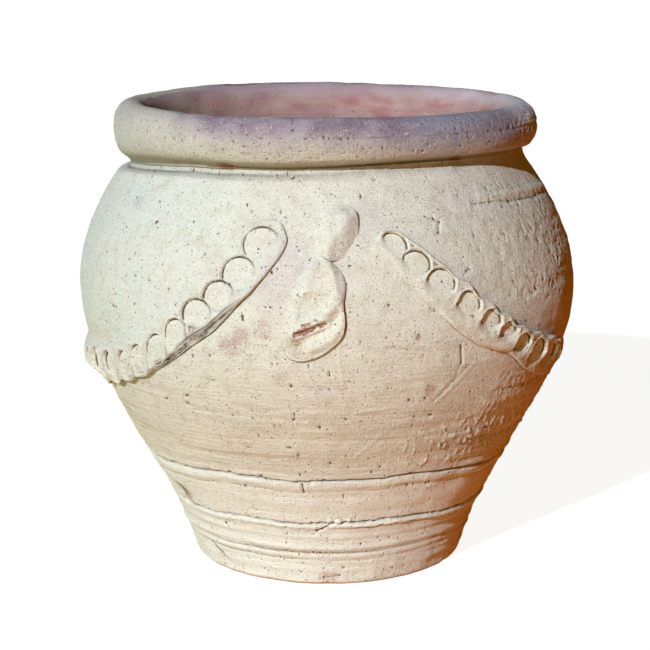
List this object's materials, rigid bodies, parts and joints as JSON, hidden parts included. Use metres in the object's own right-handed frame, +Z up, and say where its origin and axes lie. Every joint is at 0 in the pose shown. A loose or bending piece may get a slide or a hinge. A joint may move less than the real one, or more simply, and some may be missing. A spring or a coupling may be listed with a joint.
{
  "type": "ceramic planter",
  "caption": "Bellied hand-thrown terracotta floor planter with a fat rolled rim, ring lines, thumb-pressed swags hung between pressed buttons with drops, and a drained floor.",
  "frame": {"origin": "on the turning axis at the ground, at the bottom centre of the bounding box", "axes": "+Z up along the turning axis, -Y towards the front, where the swags meet at the front button, +X to the right as seen from the front"},
  "size_m": [0.38, 0.3922, 0.3527],
  "materials": {
    "slipped_clay": "thrown terracotta under a matt cream lime slip, pitted and brushed, unglazed",
    "flashed_rim": "the same slip over the rim, flashed mauve and purple by the firing, matt",
    "bare_clay": "bare fired terracotta, pinkish, matt and sandy"
  },
  "bodies": {
    "root": {"floor_disc": "bare_clay", "foot_band": "slipped_clay", "lower_band": "slipped_clay", "belly_wall": "slipped_clay", "shoulder_wall": "slipped_clay", "rim_roll": "flashed_rim", "left_swag": "slipped_clay", "right_swag": "slipped_clay", "front_button": "slipped_clay", "front_drop": "slipped_clay", "back_button": "slipped_clay", "back_drop": "slipped_clay"}
  },
  "joints": []
}
